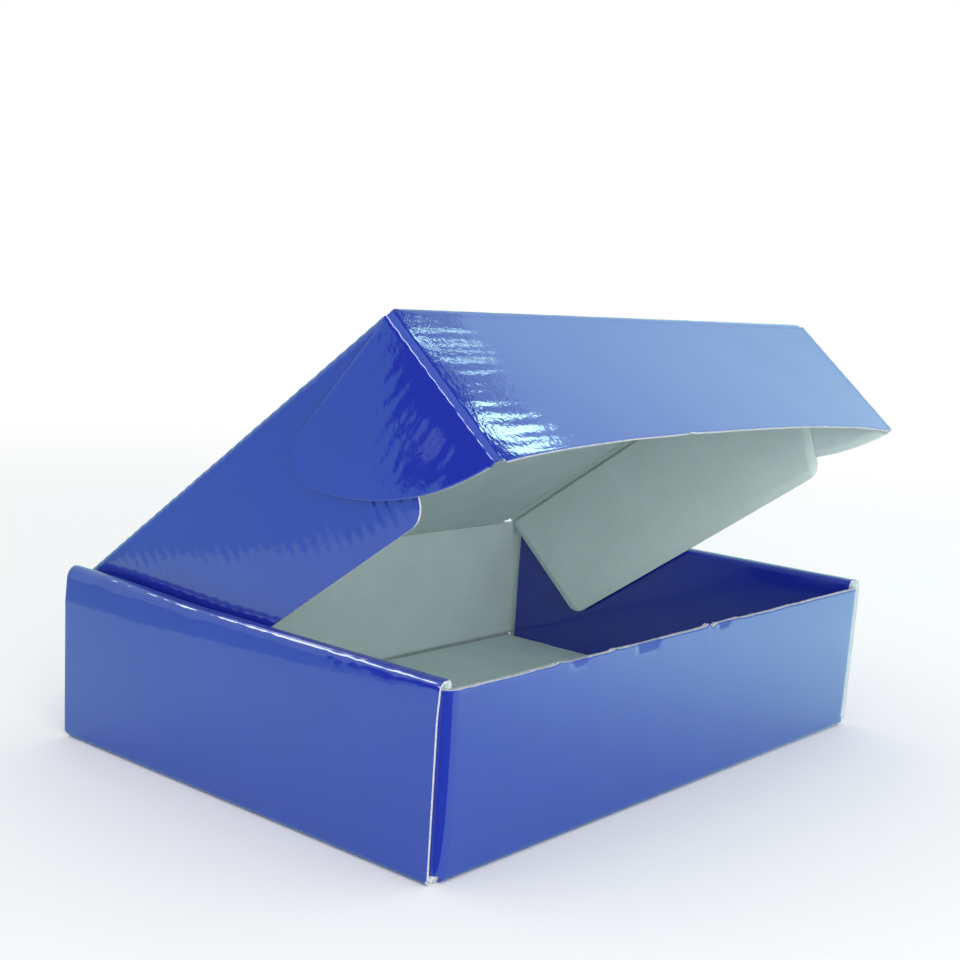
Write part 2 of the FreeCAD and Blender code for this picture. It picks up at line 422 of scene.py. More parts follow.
def lay_sheet(name, rows, outward, ripples=lambda p: 1.0, room=None, worked=None):
    """A grid whose points lie where rows say, each a place and its pattern coordinates in metres.

    The printed face looks towards outward, and the fluted liner ripples about it. At a point's
    pattern coordinates, ripples says how much and room how far off the nearest crease is, where the
    board lies still. worked says how far folding has worked the film there."""
    board = settings("board")
    sheet = primitive(bpy.ops.mesh.primitive_grid_add, name, x_subdivisions=len(rows[0]) - 1,
                      y_subdivisions=len(rows) - 1, size=2, location=(0, 0, 0))
    mesh = sheet.data
    points = [p for row in rows for p in row]
    for vertex, (place, _) in zip(mesh.vertices, points):
        vertex.co = place
    mesh.update()
    middle = mesh.polygons[len(mesh.polygons) // 2]
    if middle.normal.dot(outward) < 0:
        on_whole_mesh(bpy.ops.mesh.flip_normals)
    normals = [n.vector.copy() for n in mesh.vertex_normals]
    for vertex, normal, (place, pattern) in zip(mesh.vertices, normals, points):
        across, along = pattern
        # The flutes are neither quite even nor quite straight
        much = ripples(pattern) * (1 + 0.9 * uneven(across * 40, along * 55, 2.0))
        phase = math.tau * across / board.flute_pitch + 1.2 * uneven(across * 30, along * 90, 7.0)
        ripple = math.sin(phase) * board.washboard * much
        free = smooth((room(pattern) - STILL) / LOOSENS) if room else 1.0
        vertex.co += normal * (ripple + wander(place, board.waviness)) * free
    if worked:
        mark = mesh.attributes.new("worked", "FLOAT", "POINT")
        mark.data.foreach_set("value", [worked(pattern) for _, pattern in points])
    layer = mesh.uv_layers.active or mesh.uv_layers.new()
    layer.name = "Board"
    for loop in mesh.loops:
        layer.data[loop.index].uv = points[loop.vertex_index][1]
    return sheet


def apply_modifier(piece, kind, **properties):
    """Adds a modifier and applies it."""
    bpy.ops.object.select_all(action="DESELECT")
    bpy.context.view_layer.objects.active = piece
    piece.select_set(True)
    modifier = piece.modifiers.new(kind.title(), kind)
    for name, value in properties.items():
        setattr(modifier, name, value)
    bpy.ops.object.modifier_apply(modifier=modifier.name)


def thicken(sheet, thickness, moved=(), cut=(), ruled=(), rim=EDGE, merge=0.0):
    """Gives a printed face its board: inner liner, cut edges, and bevels at the creases.

    moved are (points, direction): the inner face's points of these numbers move that way.
    cut and ruled hold each point's distance from a cut edge, where the knife crushed the inner face, and
    from a crease, where a rule pressed it and the liner gets painted shade."""
    outer_count = len(sheet.data.vertices)
    sheet.data.materials.clear()
    for material in board_materials():
        sheet.data.materials.append(material)
    apply_modifier(sheet, "SOLIDIFY", thickness=thickness, offset=-1.0, use_even_offset=False,
                   material_offset=LINER, material_offset_rim=rim)
    mesh = sheet.data
    for points, direction in moved:
        for index in points:
            mesh.vertices[index + outer_count].co += direction
    for distances, share, reach in ((cut, KNIFE_CRUSH, CRUSH_WIDTH), (ruled, RULE_CRUSH, RULE_WIDTH)):
        for index, distance in enumerate(distances):
            if distance < reach:
                inner = mesh.vertices[index + outer_count]
                crush = share * (1 - max(distance, 0.0) / reach) ** CRUSH_POWER
                inner.co = inner.co.lerp(mesh.vertices[index].co, crush)
    # Painted shade on the liner next to a crease, strongest at the crease
    painted_crease_shade = [max(1 - max(d, 0.0) / RULE_WIDTH, 0.0) for d in ruled] or [0.0] * outer_count
    for name, outer, inner in (("painted_crease_shade", [0.0] * outer_count, painted_crease_shade),
                               ("depth", [0.0] * outer_count, [1.0] * outer_count)):
        mark = mesh.attributes.new(name, "FLOAT", "POINT")
        mark.data.foreach_set("value", outer + inner)
    if merge:
        on_whole_mesh(bpy.ops.mesh.remove_doubles, threshold=merge)
    if rim == EDGE:
        apply_modifier(sheet, "BEVEL", width=settings("board").edge_round, segments=2,
                       limit_method="ANGLE", angle_limit=SHARP_ANGLE, miter_outer="MITER_ARC")
    bpy.ops.object.shade_smooth_by_angle(angle=SHARP_ANGLE)
    return sheet


def joined(name, pieces):
    """Several meshes as one piece."""
    bpy.ops.object.select_all(action="DESELECT")
    for piece in pieces:
        piece.select_set(True)
    bpy.context.view_layer.objects.active = pieces[0]
    bpy.ops.object.join()
    pieces[0].name = pieces[0].data.name = name
    return pieces[0]


def finish_piece(piece, body, node):
    """Puts a piece on its body, in place of its node."""
    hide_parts(node)
    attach(piece, body)


# The tray. Its layers are a hair thinner than the board, so that no two of them touch
LAYER_SLACK = 0.05 * MM
# The bends of a side wall, and the ridge of its roll with its coarse and fine unevenness
WALL_BEND, RIDGE, RIDGE_COARSE, RIDGE_FINE = 3.2 * MM, 3.6 * MM, 0.7 * MM, 0.3 * MM
# The left wall's roll lifts from this far behind the middle, over this length. Its inner bend takes
# this share of the lift
LIFT_START, LIFT_LENGTH, INNER_LIFT = 20 * MM, 85 * MM, 0.9
# A side wall's inner panel ends this short of the front and back walls
PANEL_GAP = 0.6 * MM
# The right inner panel's rear end is torn on the slant: its print stops this much short of its liner
SLANT = 5.8 * MM
# The roll pulls a wall's top in by this slope over this height. The line where that starts is
# toothed by these many millimetres, at each flute and unevenly
LEAN, LEAN_DEPTH, TOOTH_FLUTES, TOOTH_UNEVEN = 0.081, 11 * MM, 0.2, 0.8
# The base counts as ending this far inside the side walls' outer faces
BASE_MARGIN = 0.2 * MM
# The front and back walls' bends into their end flaps, and the cells along each wall
FRONT_BEND, FRONT_CELLS, BACK_BEND, BACK_CELLS = 6.5 * MM, 205, 3.4 * MM, 80
# Rows of the mesh that bend a wall up from the base, and the height they keep to on an end flap
FOOT_ROWS, FOOT_BAND = 6, 0.2 * MM
# The middle of the front wall stands out by this much
FRONT_BOW = 0.8 * MM
# The back wall's edge lies a little low, so that the lid's rear edge clears it when it opens
BACK_DROP = 0.5 * MM
# Burrs and a nick of the front wall's edge: place, width and height in millimetres
BURRS = ((-98.9, 2.0, 0.7), (-60.2, 1.8, 0.6), (13.6, 1.8, 1.3), (17.4, 1.9, -0.9))
# A lift of torn liner on that edge: its start, its end, how fast it rises and falls, and its height
TEAR_START, TEAR_END, TEAR_RISE, TEAR_FALL, TEAR_HEIGHT = 18.5, 48.0, 2.0, 12.0, 0.75
# Thumb dents below that edge: place, half width and depth in millimetres, and their common slope
DENTS = ((-85.4, 6.5, 4.2), (-35.6, 9.5, 5.6), (27.0, 6.0, 3.4))
DENT_SIDE, DENT_SLOPE = 1.6, 0.13
# The locking tabs, how far apart each pair is, and the room round a tab in its slot
TAB_LENGTH, TAB_SPACING, SLOT_GAP = 36 * MM, 128 * MM, 0.1 * MM


class Tray:
    """The tray's sizes, from the frame and the settings."""

    def __init__(self):
        tray = settings("tray")
        self.board = settings("board").thickness
        self.pitch = settings("board").flute_pitch
        self.half_width = tray_high.x
        self.half_depth = tray_high.y
        self.top = tray_high.z
        self.front_top = self.top - tray.front_drop
        self.above_base = self.board + tray.layer_gap
        self.gap = tray.layer_gap
        self.flap_outer = self.half_width - self.board - self.gap
        self.roll_outer = self.flap_outer - self.board - self.gap
        self.roll_inner = self.roll_outer - self.board
        self.reach = self.half_depth - tray.corner_setback
        self.inner_y = self.half_depth - self.board
        self.end_flap = tray.end_flap
        self.roll_lift = tray.roll_lift
        self.wall_bow = tray.wall_bow


def folded(corners, radii, runs, bend_cells=8):
    """Points along a path of straight runs, rounded at its corners, with the length to each.

    runs holds the number of cells in each straight run."""
    path = [corners[0]]
    for index, (corner, radius) in enumerate(zip(corners[1:-1], radii)):
        before = (corners[index] - corner).normalized()
        after = (corners[index + 2] - corner).normalized()
        start = corner + before * radius
        first = path[-1]
        path += [first.lerp(start, t) for t in steps(0, 1, runs[index])[1:]]
        centre = start + after * radius
        for turn in steps(0, math.pi / 2, bend_cells)[1:]:
            path.append(centre - after * (radius * math.cos(turn)) - before * (radius * math.sin(turn)))
    last = path[-1]
    path += [last.lerp(corners[-1], t) for t in steps(0, 1, runs[-1])[1:]]
    lengths = [0.0]
    for a, b in zip(path, path[1:]):
        lengths.append(lengths[-1] + (b - a).length)
    return list(zip(path, lengths))


def strip_section(tray, share):
    """The strip's path from one wall over the base to the other, at a share of the way back."""
    lift = tray.roll_lift * smooth((share * tray.half_depth - LIFT_START) / LIFT_LENGTH)
    ridge = RIDGE + RIDGE_COARSE * uneven(share * 7, 0, 4.0) + RIDGE_FINE * uneven(share * 21, 0, 8.0)
    corners, radii = [], []
    for side, up in ((-1, lift), (1, 0.0)):
        inner_up = up * INNER_LIFT
        outline = [
            Vector((side * tray.roll_inner, 0, tray.above_base)),
            Vector((side * tray.roll_inner, 0, tray.top + inner_up)),
            Vector((side * tray.half_width, 0, tray.top + up)),
            Vector((side * tray.half_width, 0, 0))]
        rounds = [WALL_BEND, ridge + inner_up, WALL_BEND]
        corners += outline if side < 0 else outline[::-1]
        radii += rounds if side < 0 else rounds[::-1]
    return folded(corners, radii, (10, 3, 14, 24, 14, 3, 10))


def strip_reach(tray, place, share):
    """How far towards the front and back the strip goes at a point of its section."""
    if place.z < tray.board and abs(place.x) < tray.half_width - BASE_MARGIN:
        return tray.inner_y
    if abs(place.x) > tray.roll_outer:
        return tray.reach
    return tray.inner_y - PANEL_GAP - (SLANT if place.x > 0 and share > 0 else 0.0)


def cross_strip(tray):
    """Base and rolled side walls, which are one strip of the blank: its printed face."""
    rows = []
    for share in steps(-1, 1, cells_across(2 * tray.reach, tray.pitch, 4)):
        row = []
        for place, length in strip_section(tray, share):
            place = place.copy()
            place.y = share * strip_reach(tray, place, share)
            side = math.copysign(1, place.x)
            if abs(place.x) > tray.half_width - 0.5 * tray.board:
                height = min(max(place.z / tray.top, 0), 1)
                place.x += side * tray.wall_bow * math.sin(math.pi * height) * (1 - share ** 4)
            # The crease of the roll has pulled the wall's top in, a little more at each flute
            tooth = TOOTH_FLUTES * math.sin(math.tau * place.y / tray.pitch)
            tooth += TOOTH_UNEVEN * uneven(place.y * 70, side)
            above = place.z - (tray.top - tray.board - LEAN_DEPTH + tooth * MM)
            pulled = smooth((abs(place.x) - tray.roll_outer) / (tray.half_width - tray.roll_outer))
            place.x -= side * LEAN * min(max(above, 0.0), LEAN_DEPTH) * pulled
            row.append((place, (place.y, length)))
        rows.append(row)
    return rows


def end_wall_rows(tray, front):
    """Front or back wall with its end flaps, seen from above as one folded strip."""
    sign = -1 if front else 1
    top = tray.front_top if front else lid_crease.z - BACK_DROP
    flap_top = min(top, tray.top - tray.above_base)
    bend, cells = (FRONT_BEND, FRONT_CELLS) if front else (BACK_BEND, BACK_CELLS)
    flap_end = sign * (tray.inner_y - tray.end_flap)
    corners = [
        Vector((-tray.flap_outer, flap_end, 0)),
        Vector((-tray.flap_outer, sign * tray.half_depth, 0)),
        Vector((tray.flap_outer, sign * tray.half_depth, 0)),
        Vector((tray.flap_outer, flap_end, 0))]
    path = folded(corners, (bend, bend), (12, cells, 12))
    wall_rows = cells_across(top - tray.board, tray.pitch, 5)
    rows = []
    for step in range(FOOT_ROWS + wall_rows + 1):
        row = []
        for place, length in path:
            # The outer part of the bend already belongs to the end flap
            on_wall = abs(place.x) <= tray.flap_outer - bend * 0.6
            place = place.copy()
            if step <= FOOT_ROWS:
                turn = (step / FOOT_ROWS) * math.pi / 2
                if on_wall:
                    place.y = sign * (tray.inner_y + tray.board * math.sin(turn))
                    place.z = tray.board * (1 - math.cos(turn))
                else:
                    place.z = tray.above_base + FOOT_BAND * step / FOOT_ROWS
            else:
                share = (step - FOOT_ROWS) / wall_rows
                low = tray.board if on_wall else tray.above_base + FOOT_BAND
                high = top if abs(place.x) < tray.flap_outer else flap_top
                if front:
                    high += edge_wear(place.x)
                place.z = low + (high - low) * share
                if front and on_wall:
                    place.y += top_dent(place.x, place.z, top)
                    fade = smooth(share * 4) * (1 - (place.x / tray.half_width) ** 4)
                    place.y -= FRONT_BOW * fade * math.sin(math.pi * share)
            row.append((place, (place.z, length)))
        rows.append(row)
    return rows


def edge_wear(x):
    """The front wall's cut edge: nearly straight, with burrs, a nick and a torn lift of liner."""
    # Bumps 17 mm and 4 mm apart
    wear = uneven(x * 60, 3.7) * 0.4 + uneven(x * 260, 9.1) * 0.22
    for centre, width, height in BURRS:
        wear += height * math.exp(-((x / MM - centre) / width) ** 2)
    torn = smooth((x / MM - TEAR_START) / TEAR_RISE) * smooth((TEAR_END - x / MM) / TEAR_FALL)
    return (wear + TEAR_HEIGHT * torn) * MM


def top_dent(x, z, top):
    """Three spots below the front wall's edge where a thumb has tipped the board in."""
    dent = 0.0
    for centre, half, depth in DENTS:
        across = smooth((half - abs(x / MM - centre)) / DENT_SIDE)
        dent += DENT_SLOPE * max(z - (top - depth * MM), 0.0) * across
    return dent


def slots_and_tabs(strip, tray):
    """Cuts the slots of the base and makes the locking tabs that stand in them."""
    tabs = []
    for side in (-1, 1):
        for y in (-TAB_SPACING / 2, TAB_SPACING / 2):
            middle = side * (tray.roll_inner + tray.roll_outer) / 2
            # The cutter ends between the base's upper face and the inner panel's lower edge
            depth = 2 * tray.board
            cutter = primitive(bpy.ops.mesh.primitive_cube_add, "slot_cutter", size=1,
                               location=(middle, y, tray.board + tray.gap / 2 - depth / 2))
            cutter.scale = (tray.board + 2 * SLOT_GAP, TAB_LENGTH + 2 * SLOT_GAP, depth)
            bpy.ops.object.transform_apply(location=True, rotation=False, scale=True)
            apply_modifier(strip, "BOOLEAN", operation="DIFFERENCE", object=cutter, solver="EXACT")
            bpy.data.objects.remove(cutter)
            lengths = steps(-TAB_LENGTH / 2, TAB_LENGTH / 2, cells_across(TAB_LENGTH, tray.pitch))
            rows = [[(Vector((side * tray.roll_inner, y + along, z)), (y + along, z))
                     for along in lengths]
                    for z in steps(tray.gap, tray.board + 2 * tray.gap, 4)]
            tab = lay_sheet("tab", rows, Vector((-side, 0, 0)))
            tabs.append(thicken(tab, tray.board))
    return tabs


def tray_cuts(name, rows, tray):
    """Each point's distance from the cut edge of its part of the tray."""
    if name == "strip":
        far = 2 * CRUSH_WIDTH
        # The right inner panel is pressed thin over its rear half, on the side that isn't seen
        last = [far if 0 < place.x < tray.roll_outer else place.y for place, _ in rows[-1]]
        return [min(place.y - rows[0][i][0].y, last[i] - place.y)
                if place.z > tray.board else far for row in rows for i, (place, _) in enumerate(row)]
    if name == "front":
        # Less crushed than the others, so the edge shows
        return [rows[-1][i][0].z - place.z + 0.65 * CRUSH_WIDTH
                for row in rows for i, (place, _) in enumerate(row)]
    return ()


def tray_rules(name, rows, tray):
    """Each point's distance from the crease between the base and a front or back wall."""
    if name == "strip":
        far = 2 * RULE_WIDTH
        return [tray.inner_y - abs(place.y) if place.z < tray.board and abs(place.x) < tray.roll_inner
                else far for row in rows for place, _ in row]
    if name == "back":
        # The back wall's press mark and its painted crease shade are fainter
        return [max(place.z - tray.board, 0.0) + 0.3 * RULE_WIDTH for row in rows for place, _ in row]
    return ()


class MAILER_OT_tray(bpy.types.Operator):
    """Fold the tray: base, rolled side walls, front and back walls"""
    bl_idname = "mailer.tray"
    bl_label = "Fold tray"

    def execute(self, context):
        tray = Tray()
        parts = []
        for name, rows, outward in (
                ("strip", cross_strip(tray), Vector((0, 0, -1))),
                ("front", end_wall_rows(tray, True), Vector((0, -1, 0))),
                ("back", end_wall_rows(tray, False), Vector((0, 1, 0)))):
            sheet = lay_sheet(name, rows, outward, ripples=lambda p: 0.32)
            before_last = (len(rows) - 1) * len(rows[0])
            torn = [before_last + i for i, (place, _) in enumerate(rows[-1])
                    if name == "strip" and 0 < place.x < tray.roll_outer and place.z > tray.board]
            parts.append(thicken(
                sheet, tray.board - LAYER_SLACK, moved=[(torn, Vector((0, SLANT, 0)))],
                cut=tray_cuts(name, rows, tray), ruled=tray_rules(name, rows, tray)))
        piece = joined("folded_tray", parts + slots_and_tabs(parts[0], tray))
        finish_piece(piece, "tray", "tray")
        return {"FINISHED"}


# Lid and flaps. At a crease the printed face starts this far from it, the inner face nearer
PRINT_START, INNER_START = 1.0 * MM, 0.15 * MM
# The first shares of a flap's depth lie close together, for the press mark of its crease
NEAR_CREASE = [0, 0.007, 0.014, 0.023]
# The tuck flap's free edge is uneven by this much and has one nick: its place, width and depth
EDGE_UNEVEN, NICK_AT, NICK_WIDTH, NICK_DEPTH = 0.2 * MM, -34, 1.6, 0.7 * MM
# Folding has worked the tuck flap's left end: from this line, over this distance. The line slants
# by half a step across for each step down
WORKED_FROM, WORKED_OVER, WORKED_SLANT = 110 * MM, 35 * MM, 0.5
# A dust flap's depth, its round corners and its bow. Each of its two ends starts a little way along
# the lid's side and slants in by this much in all
DUST_DEPTH, DUST_CORNER, DUST_BOW = 73 * MM, 9 * MM, 0.7 * MM
REAR_START, REAR_SLANT = 1.5 * MM, 16 * MM
FRONT_START, FRONT_SLANT = 3.5 * MM, 21 * MM
# An ear's outline in millimetres, as distances behind its crease and down it
EAR_ROOT, EAR_FOOT, EAR_BELLY = (0, 0.8), (0, 74.5), (42, 53.5)
EAR_LOW, EAR_TIP, EAR_TOP = (74, 20), (78, 8), (68, -1.7)
# Its sheet ends this short of the very tip, where it would shrink to a point
EAR_BLUNT = 0.12
# Its height at the crease, about, which sets its number of cells
EAR_HEIGHT = 73.5 * MM


def make_panel(name, body, node, axes, grid, ends, ruled, cut=(), merge=0.0, **texture):
    """Makes a creased flat panel.

    axes are a place on its crease and the ways away from it, along it and out of its printed face.
    grid holds each point's distances in these three ways and its pattern coordinates. ends are the
    sides of the grid that a crease bounds and the way to each. ruled says how far a crease is."""
    origin, away, along, out = axes
    thickness = settings("board").thickness
    rows = [[(origin + away * u + along * v + out * (thickness + w), pattern)
             for u, v, w, pattern in row] for row in grid]
    sheet = lay_sheet(name, rows, out, **texture)
    wide, count = len(grid[0]), len(grid) * len(grid[0])
    sides = {"first row": range(wide), "last row": range(count - wide, count),
             "first column": range(0, count, wide), "last column": range(wide - 1, count, wide)}
    step = PRINT_START - INNER_START
    thicken(sheet, thickness, moved=[(sides[side], way * step) for side, way in ends.items()],
            cut=cut, ruled=[ruled(p) for row in grid for *_, p in row], merge=merge)
    finish_piece(sheet, body, node)


def from_free_edges(grid, reach):
    """Each point's distance from a flap's far edge or its nearer side edge."""
    return [min(reach - u, v - grid[0][i][1], grid[-1][i][1] - v)
            for row in grid for i, (u, v, _, _) in enumerate(row)]


class MAILER_OT_lid(bpy.types.Operator):
    """Make the lid's flat panel, creased along all four edges"""
    bl_idname = "mailer.lid"
    bl_label = "Make lid"

    def execute(self, context):
        half = abs(dust_crease.x) - PRINT_START
        cells = cells_across(lid_length, settings("board").flute_pitch, 6)
        grid = []
        for u in steps_lined(PRINT_START, lid_length - PRINT_START, cells):
            sag = settings("flaps").lid_sag * math.sin(math.pi * u / lid_length)
            grid.append([(u, x, -sag * math.cos(x / half * math.pi / 2), (u, x))
                         for x in steps_lined(-half, half, 46)])
        make_panel(
            "lid_panel_board", "lid", "lid_panel", (lid_crease, along_lid, X, over_lid), grid,
            ends={"first row": -along_lid, "last row": along_lid, "first column": -X, "last column": X},
            ruled=lambda p: min(p[0] - PRINT_START, lid_length - PRINT_START - p[0], half - abs(p[1])),
            ripples=lambda p: 0.6, room=lambda p: min(p[0], lid_length - p[0], half - abs(p[1])))
        return {"FINISHED"}


def tuck_depth():
    """The tuck flap's depth, from its node's lowest corner."""
    low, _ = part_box("tuck_flap")
    return (tuck_crease.z - low.z) / -down_tuck.z


def tuck_bow_at(x, u):
    """How far the tuck flap bows out at a place across it, and down it from its crease."""
    middle = 1 - (x / ear_crease.x) ** 2
    return settings("flaps").tuck_bow * middle * (u / tuck_depth()) ** 1.3


def tuck_worked(p):
    """How far folding has worked the tuck flap at a place, given by its pattern coordinates."""
    return smooth((WORKED_SLANT * p[0] - p[1] - WORKED_FROM) / WORKED_OVER)


class MAILER_OT_tuck(bpy.types.Operator):
    """Make the tuck flap, bowed between its ears"""
    bl_idname = "mailer.tuck"
    bl_label = "Make tuck flap"

    def execute(self, context):
        flaps = settings("flaps")
        full_half = abs(ear_crease.x)
        half = full_half - PRINT_START
        depth = tuck_depth()
        cells = cells_across(depth, settings("board").flute_pitch)
        grid = []
        for share in NEAR_CREASE + steps(0.035, 1, cells):
            row = []
            for x in steps_lined(-half, half, 100):
                end = depth + flaps.tuck_corners - flaps.tuck_arch * (1 - (x / full_half) ** 4)
                end += EDGE_UNEVEN * uneven(x * 45, 0, 5.1)
                end -= NICK_DEPTH * math.exp(-((x / MM - NICK_AT) / NICK_WIDTH) ** 2)
                u = PRINT_START + (end - PRINT_START) * share
                row.append((u, x, tuck_bow_at(x, u), (u, x)))
            grid.append(row)
        make_panel(
            "tuck_flap_board", "tuck", "tuck_flap", (tuck_crease, down_tuck, X, out_of_tuck), grid,
            ends={"first row": -down_tuck, "first column": -X, "last column": X},
            ruled=lambda p: min(p[0] - PRINT_START, half - abs(p[1])),
            cut=[grid[-1][i][0] - point[0] for row in grid for i, point in enumerate(row)],
            worked=tuck_worked, ripples=lambda p: 0.35 + (0.25 + 5.5 * p[0]) * tuck_worked(p),
            room=lambda p: min(p[0], half - abs(p[1])))
        return {"FINISHED"}


def corner_line(start, slope, v, depth, radius):
    """How far a slanting edge lies in at depth v, with a round corner where it meets the bottom."""
    lean = math.hypot(1, slope)
    tangent = depth - radius + radius * slope / lean
    if v <= tangent:
        return start + slope * v
    centre = start + slope * (depth - radius) + radius * lean
    return centre - math.sqrt(max(radius ** 2 - (v - depth + radius) ** 2, 0.0))


class MAILER_OT_dust_flaps(bpy.types.Operator):
    """Make the two dust flaps that hang inside the side walls"""
    bl_idname = "mailer.dust_flaps"
    bl_label = "Make dust flaps"

    def execute(self, context):
        cells = cells_across(lid_length, settings("board").flute_pitch)
        # The rows lie closer together towards the round corners
        shares = NEAR_CREASE + [1 - 0.965 * (1 - t) ** 1.7 for t in steps(0, 1, 52)]
        grid = []
        for t in steps(0, 1, cells):
            row = []
            for share in shares:
                v = PRINT_START + (DUST_DEPTH - PRINT_START) * share
                low, from_end = (
                    corner_line(start, slant / DUST_DEPTH, v, DUST_DEPTH, DUST_CORNER)
                    for start, slant in ((REAR_START, REAR_SLANT), (FRONT_START, FRONT_SLANT)))
                u = low + (lid_length - from_end - low) * t
                row.append((v, u, DUST_BOW * (v / DUST_DEPTH) ** 2 * math.sin(math.pi * t), (u, v)))
            grid.append(row)
        for side, word in ((-1, "left"), (1, "right")):
            out = X * side
            make_panel(
                word + "_dust_flap_board", word + "_dust", word + "_dust_flap",
                (lid_crease + out * abs(dust_crease.x), -over_lid, along_lid, out), grid,
                ends={"first column": over_lid}, ruled=lambda p: p[1] - PRINT_START,
                cut=from_free_edges(grid, DUST_DEPTH), merge=0.02 * MM,
                ripples=lambda p: 0.8, room=lambda p: p[1])
        return {"FINISHED"}


def arc_through(a, b, c):
    """Centre and radius of the circle through three points."""
    (ax, ay), (bx, by), (cx, cy) = a, b, c
    d = 2 * (ax * (by - cy) + bx * (cy - ay) + cx * (ay - by))
    a2, b2, c2 = ax * ax + ay * ay, bx * bx + by * by, cx * cx + cy * cy
    x = (a2 * (by - cy) + b2 * (cy - ay) + c2 * (ay - by)) / d
    y = (a2 * (cx - bx) + b2 * (ax - cx) + c2 * (bx - ax)) / d
    return x, y, math.hypot(ax - x, ay - y)


def ear_edges(u):
    """An ear's upper and lower edge at a distance behind its crease, in millimetres."""
    tip_x, tip_y, tip_radius = arc_through(EAR_LOW, EAR_TIP, EAR_TOP)
    across_tip = math.sqrt(max(tip_radius ** 2 - (u - tip_x) ** 2, 0))
    upper, lower = tip_y - across_tip, tip_y + across_tip
    if u <= EAR_TOP[0]:
        upper = EAR_ROOT[1] + (EAR_TOP[1] - EAR_ROOT[1]) * u / EAR_TOP[0]
    if u <= EAR_LOW[0]:
        x, y, radius = arc_through(EAR_FOOT, EAR_BELLY, EAR_LOW)
        lower = y + math.copysign(math.sqrt(radius ** 2 - (u - x) ** 2), EAR_BELLY[1] - y)
    return upper, lower


class MAILER_OT_ears(bpy.types.Operator):
    """Make the ears at the tuck flap's ends"""
    bl_idname = "mailer.ears"
    bl_label = "Make ears"

    def execute(self, context):
        start = PRINT_START / MM
        tip_x, _, tip_radius = arc_through(EAR_LOW, EAR_TIP, EAR_TOP)
        reach = tip_x + tip_radius - EAR_BLUNT
        grid = []
        for t in steps(0, 1, cells_across(EAR_HEIGHT, settings("board").flute_pitch)):
            row = []
            for turn in NEAR_CREASE + steps(0.037, math.pi / 2, 58):
                u = start + (reach - start) * math.sin(turn)
                upper, lower = ear_edges(u)
                v = upper + (lower - upper) * t
                row.append((u * MM, v * MM, 0.0, (v * MM, u * MM)))
            grid.append(row)
        for side, body in ((-1, "left_ear"), (1, "right_ear")):
            out = X * side
            make_panel(
                body + "_board", body, body,
                (tuck_crease + out * abs(ear_crease.x), -out_of_tuck, down_tuck, out), grid,
                ends={"first column": out_of_tuck}, ruled=lambda p: p[1] - PRINT_START,
                cut=from_free_edges(grid, reach * MM), ripples=lambda p: 0.45, room=lambda p: p[1])
        return {"FINISHED"}


# Creases. The printed face stands this clear of the board, and runs on past each panel's start
CREASE_CLEAR, CREASE_OVERLAP = 0.04 * MM, 0.7 * MM
# How far a folded crease swells, in millimetres: unevenly, and once more at each flute
SWELL_UNEVEN, SWELL_FLUTES = 0.16, 0.08
# The cells along a plain crease and round any crease, and its skin's share of the full radius
PLAIN_CELLS, ROUND_CELLS, SKIN = 60, 12, 0.4


def crease(name, origin, axis, first, second, span, waves, rise=lambda along, u: 0.0):
    """The crushed board round a hinge: printed face, rounded from one panel's to the other's.

    first and second are (direction into the panel, its printed face's normal), and rise says how
    far a bowed first panel stands up at a place along the crease and a distance from it."""
    pitch = settings("board").flute_pitch
    radius = settings("board").thickness + CREASE_CLEAR
    tail = PRINT_START + CREASE_OVERLAP
    turn = first[1].angle(second[1])
    spin = first[1].cross(second[1]).normalized()
    rows = []
    for along in steps(*span, cells_across(span[1] - span[0], pitch) if waves else PLAIN_CELLS):
        place = origin + axis * along
        swell = SWELL_UNEVEN * uneven(along * 120, 0.0, 1.0)
        if waves:
            swell += SWELL_FLUTES * math.sin(math.tau * along / pitch)
        row = [(place + first[0] * u + first[1] * (radius + rise(along, u)), (along, -u))
               for u in steps(tail, 0, 2)[:-1]]
        for angle in steps(0, turn, ROUND_CELLS):
            swollen = radius + swell * MM * math.sin(math.pi * angle / turn)
            out = Matrix.Rotation(angle, 3, spin) @ first[1]
            row.append((place + out * swollen, (along, angle * radius)))
        row += [(place + second[0] * u + second[1] * radius, (along, turn * radius + u))
                for u in steps(0, tail, 2)[1:]]
        rows.append(row)
    sheet = lay_sheet(name, rows, (first[1] + second[1]).normalized(), room=lambda p: 0.0)
    thicken(sheet, SKIN * radius, rim=PRINT)
    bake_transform(sheet)


class MAILER_OT_creases(bpy.types.Operator):
    """Join the panels that turn on a hinge by their creases"""
    bl_idname = "mailer.creases"
    bl_label = "Make creases"

    def execute(self, context):
        up, back = Vector((0, 0, 1)), Vector((0, 1, 0))
        width, tuck_width = abs(dust_crease.x), abs(ear_crease.x)
        crease("lid_crease", lid_crease, X, (-up, back), (along_lid, over_lid),
               (-width + 0.5 * MM, width - 0.5 * MM), False)
        crease("tuck_crease", tuck_crease, X, (-along_lid, over_lid),
               (down_tuck, out_of_tuck), (-width, width), False)
        for side, word in ((-1, "left"), (1, "right")):
            out = X * side
            crease(word + "_dust_crease", lid_crease + out * width,
                   along_lid, (-out, over_lid), (-over_lid, out), (2 * MM, lid_length - 4 * MM), True)
            crease(word + "_ear_crease", tuck_crease + out * tuck_width,
                   down_tuck, (-out, out_of_tuck), (-out_of_tuck, out),
                   (0.5 * MM, tuck_depth() + 0.7 * MM), True,
                   rise=lambda along, u: tuck_bow_at(tuck_width - u, along))
        return {"FINISHED"}


# Studio. The camera's place in millimetres and its angles in degrees, matched to the photograph
CAMERA_PLACE = (-556.1, -454.0, 223.4)
CAMERA_YAW, CAMERA_PITCH, CAMERA_ROLL = 49.89, -12.02, 3.66
# In the box's gloss the floor's paper ends on a slant behind the box, and what lies past that line
# is darker and cooler by these shares of its red, green and blue
PAPER_END, PAPER_SLANT, COOLER = (0.375, 0.39), 0.15, (0.5, 0.66, 0.7)
